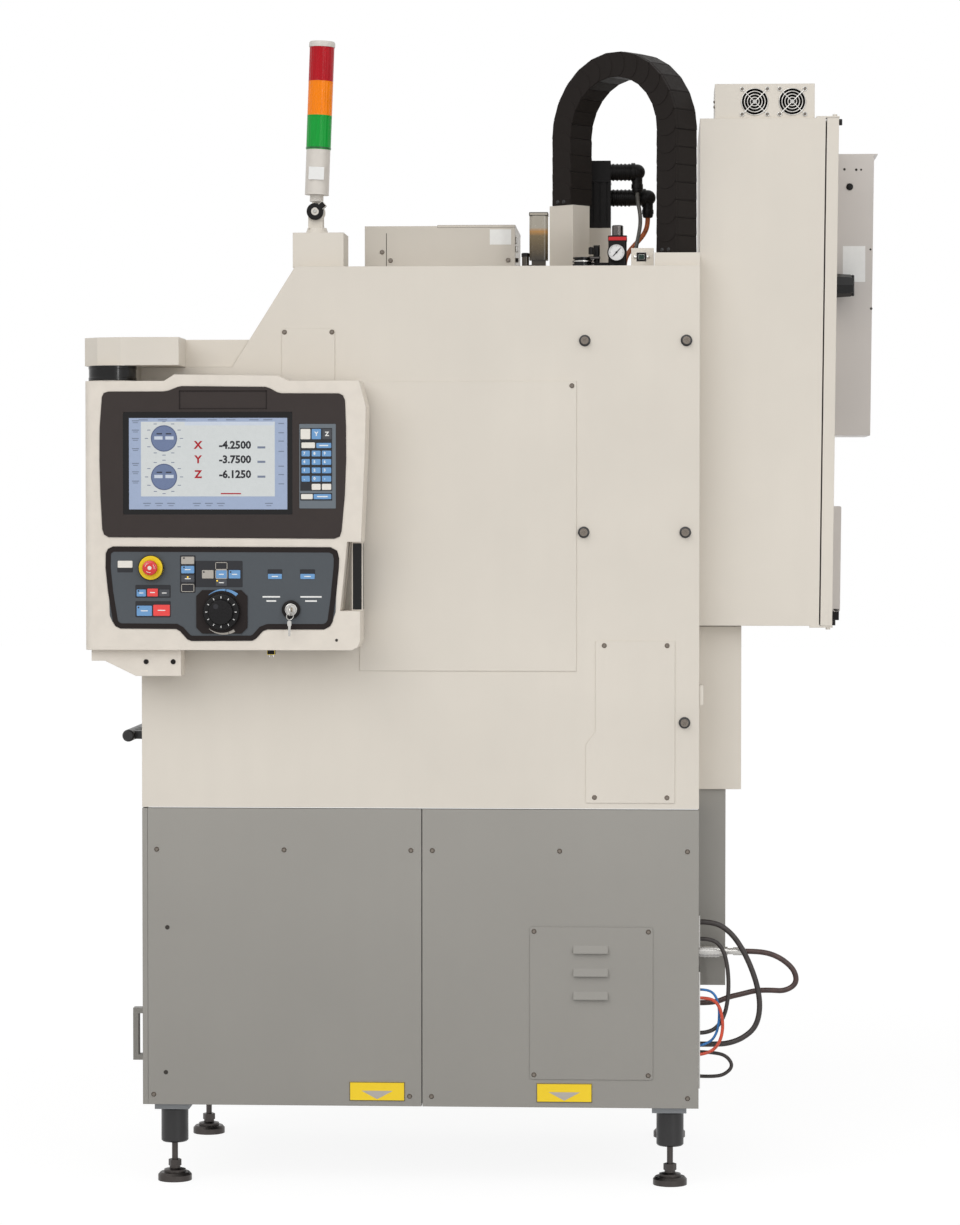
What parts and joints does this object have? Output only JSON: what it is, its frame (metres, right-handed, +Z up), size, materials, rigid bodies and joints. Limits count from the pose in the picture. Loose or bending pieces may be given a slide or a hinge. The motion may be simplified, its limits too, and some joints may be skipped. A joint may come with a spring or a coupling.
{
  "type": "cnc milling machine",
  "caption": "Compact enclosed vertical machining centre with lifting door, swivelling console, signal light, drag chain and rear electrical cabinet.",
  "frame": {"origin": "middle of the footprint's box, on the floor", "axes": "+X to the machine's rear and cabinet, +Y to its left side, +Z up; the console is swung out to the -Y side"},
  "size_m": [1.7456, 0.9284, 2.5238],
  "materials": {
    "beige_paint": "satin powder coat",
    "grey_paint": "satin powder coat",
    "yellow_paint": "satin",
    "casting": "painted casting",
    "ground_steel": "ground",
    "bright_steel": "zinc plated",
    "black_steel": "black",
    "bare_metal": "bare sheet",
    "black_plastic": "matte",
    "dark_plastic": "matte",
    "console_plastic": "fine texture",
    "bezel_plastic": "fine texture",
    "panel_plastic": "satin film",
    "oil_plastic": "translucent",
    "cable_black": "satin",
    "orange_cable": "satin",
    "blue_tube": "gloss",
    "red_tube": "gloss",
    "stop_red": "gloss",
    "lens_plastic": "translucent",
    "clear_glass": "polished"
  },
  "bodies": {
    "frame": {"base_casting": "casting", "column_casting": "casting", "guide_rails": "ground_steel", "servo_motors": "black_plastic", "upper_enclosure": "beige_paint", "side_covers": "beige_paint", "louvred_cover": "grey_paint", "skirt_panels": "grey_paint", "front_panel": "grey_paint", "lift_plates": "yellow_paint", "panel_screws": "bright_steel", "leg_sleeves": "black_steel", "levelling_feet": "bright_steel", "console_arm": "beige_paint", "cabinet_shell": "beige_paint", "cabinet_drives": "dark_plastic", "fan_box": "beige_paint", "rear_duct": "beige_paint", "pump_box": "grey_paint", "motor_cover": "beige_paint", "stack_base": "beige_paint", "drag_chain": "black_plastic", "roof_brackets": "beige_paint", "oil_bottle": "oil_plastic", "air_regulator": "black_plastic", "socket_box": "beige_paint", "air_coupling": "bright_steel", "air_hose": "cable_black", "upper_cable": "cable_black", "short_cable": "cable_black", "low_cable": "cable_black", "blue_tube": "blue_tube", "red_tube": "red_tube", "motor_cable": "cable_black", "encoder_cable": "orange_cable"},
    "front_door": {"door_panel": "beige_paint", "door_window": "clear_glass", "door_handle": "black_steel"},
    "drawer": {"coolant_drawer": "grey_paint"},
    "console": {"console_shell": "console_plastic", "screen_panel": "bezel_plastic", "control_panel": "panel_plastic"},
    "stop_button": {"emergency_stop": "stop_red"},
    "dial": {"jog_dial": "dark_plastic"},
    "key": {"key_switch": "bright_steel"},
    "saddle": {"saddle": "casting"},
    "table": {"table": "casting"},
    "head": {"spindle_head": "casting"},
    "spindle": {"spindle": "ground_steel"},
    "saddle_screw": {"saddle_screw": "ground_steel"},
    "table_screw": {"table_screw": "ground_steel"},
    "head_screw": {"head_screw": "ground_steel"},
    "cabinet_door": {"cabinet_door": "beige_paint", "door_boxes": "bare_metal"},
    "main_switch": {"disconnect_knob": "black_plastic"},
    "left_fan": {"left_fan": "black_plastic"},
    "right_fan": {"right_fan": "black_plastic"},
    "regulator_knob": {"regulator_knob": "black_plastic"},
    "stack_light": {"stack_housing": "console_plastic", "stack_tiers": "lens_plastic"}
  },
  "joints": [
    {"name": "door_lift", "type": "slide", "parent": "frame", "child": "front_door", "axis": [0, 0, 1], "range_m": [0, 0.365]},
    {"name": "drawer_pull", "type": "slide", "parent": "frame", "child": "drawer", "axis": [-1, 0, 0], "range_m": [0, 0.4]},
    {"name": "console_swivel", "type": "hinge", "parent": "frame", "child": "console", "pos_m": [-0.81076, -0.38075, 1.5], "axis": [0, 0, 1], "range_deg": [-135, 0]},
    {"name": "stop_press", "type": "slide", "parent": "console", "child": "stop_button", "axis": [0, 1, 0], "range_m": [0, 0.005], "stiffness_N_per_m": 1500},
    {"name": "dial_turn", "type": "hinge", "parent": "console", "child": "dial", "pos_m": [-0.56676, -0.44075, 1.27], "axis": [0, -1, 0], "continuous": true},
    {"name": "key_turn", "type": "hinge", "parent": "console", "child": "key", "pos_m": [-0.41676, -0.44075, 1.275], "axis": [0, 1, 0], "range_deg": [0, 90]},
    {"name": "saddle_slide", "type": "slide", "parent": "frame", "child": "saddle", "axis": [1, 0, 0], "range_m": [-0.127, 0.127]},
    {"name": "table_slide", "type": "slide", "parent": "saddle", "child": "table", "axis": [0, 1, 0], "range_m": [-0.15, 0.15]},
    {"name": "head_slide", "type": "slide", "parent": "frame", "child": "head", "axis": [0, 0, 1], "range_m": [-0.305, 0]},
    {"name": "spindle_spin", "type": "hinge", "parent": "head", "child": "spindle", "pos_m": [-0.11476, 0.06925, 1.4], "axis": [0, 0, -1], "continuous": true},
    {"name": "saddle_screw_turn", "type": "hinge", "parent": "frame", "child": "saddle_screw", "pos_m": [-0.14676, 0.06925, 0.78], "axis": [1, 0, 0], "range_deg": [-4581.1, 4581.1]},
    {"name": "table_screw_turn", "type": "hinge", "parent": "saddle", "child": "table_screw", "pos_m": [-0.11476, 0.06925, 0.864], "axis": [0, 1, 0], "range_deg": [-5410.8, 5410.8]},
    {"name": "head_screw_turn", "type": "hinge", "parent": "frame", "child": "head_screw", "pos_m": [0.22424, 0.06925, 1.5], "axis": [0, 0, 1], "range_deg": [-11002, 10]},
    {"name": "cabinet_door_swing", "type": "hinge", "parent": "frame", "child": "cabinet_door", "pos_m": [0.75224, -0.22475, 1.791], "axis": [0.0108, 0, 0.9999], "range_deg": [-110, 0]},
    {"name": "main_switch_turn", "type": "hinge", "parent": "cabinet_door", "child": "main_switch", "pos_m": [0.79324, 0.06925, 1.999], "axis": [1, 0, 0], "range_deg": [0, 90]},
    {"name": "left_fan_spin", "type": "hinge", "parent": "frame", "child": "left_fan", "pos_m": [0.58324, -0.21075, 2.384], "axis": [0, -1, 0], "continuous": true},
    {"name": "right_fan_spin", "type": "hinge", "parent": "frame", "child": "right_fan", "pos_m": [0.66524, -0.21075, 2.384], "axis": [0, -1, 0], "continuous": true},
    {"name": "regulator_turn", "type": "hinge", "parent": "frame", "child": "regulator_knob", "pos_m": [0.28324, -0.22875, 2.1], "axis": [0, 0, 1], "range_deg": [-720, 720]},
    {"name": "stack_tilt", "type": "hinge", "parent": "frame", "child": "stack_light", "pos_m": [-0.38276, -0.21075, 2.147], "axis": [0, 1, 0], "range_deg": [-90, 85]}
  ],
  "couplings": [
    {"joint": "saddle_screw_turn", "follows": "saddle_slide", "rad_per_m": 628.32},
    {"joint": "table_screw_turn", "follows": "table_slide", "rad_per_m": 628.32},
    {"joint": "head_screw_turn", "follows": "head_slide", "rad_per_m": 628.32}
  ]
}
